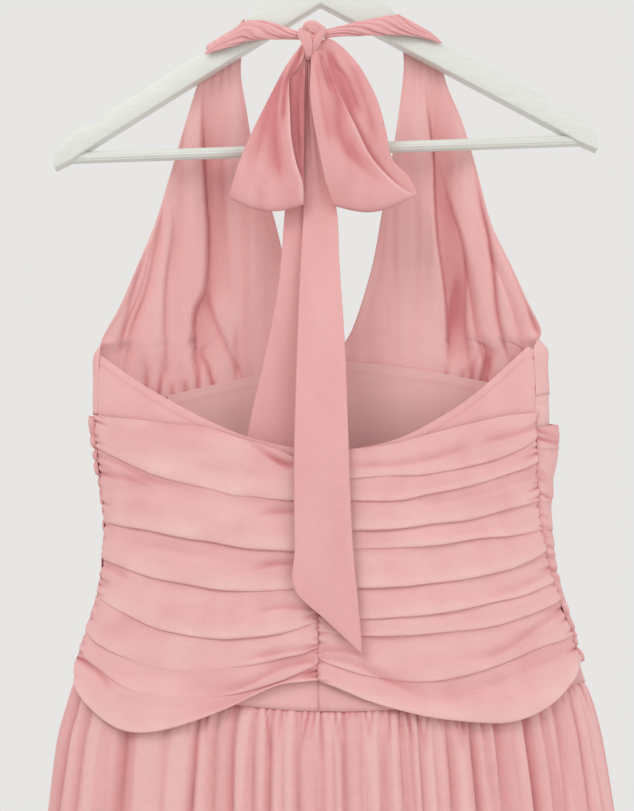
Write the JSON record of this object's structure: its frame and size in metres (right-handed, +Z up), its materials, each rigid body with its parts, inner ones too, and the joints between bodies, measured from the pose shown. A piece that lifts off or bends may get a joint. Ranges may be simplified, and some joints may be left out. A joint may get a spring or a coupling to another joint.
{
  "type": "halter dress hung on a wooden hanger",
  "caption": "Pale pink chiffon halter dress with a bow tied at the neck, an open back, a ruched bodice and a gathered skirt, hung by its ties on a white wooden trouser hanger.",
  "frame": {"origin": "the inside top of the hanger's hook, where a rail carries it", "axes": "+Z up, -Y towards whoever looks at the dress's open back, +X to that person's right"},
  "size_m": [0.606, 0.1532, 1.3292],
  "materials": {
    "chiffon": "matte",
    "painted_wood": "satin",
    "hook_steel": "satin"
  },
  "bodies": {
    "root": {"hanger_wood": "painted_wood", "hanger_bar": "painted_wood", "hanger_hook": "hook_steel", "halter_panel_left": "chiffon", "halter_panel_right": "chiffon", "back_band_left": "chiffon", "back_band_right": "chiffon", "front_band": "chiffon", "back_drape_left": "chiffon", "back_drape_right": "chiffon", "front_drape": "chiffon", "skirt_back": "chiffon", "skirt_front": "chiffon", "neck_tie_left": "chiffon", "neck_tie_right": "chiffon", "bow_knot": "chiffon", "bow_loop_left": "chiffon", "bow_loop_right": "chiffon", "bow_tail_outer": "chiffon", "bow_tail_inner": "chiffon"}
  },
  "joints": []
}
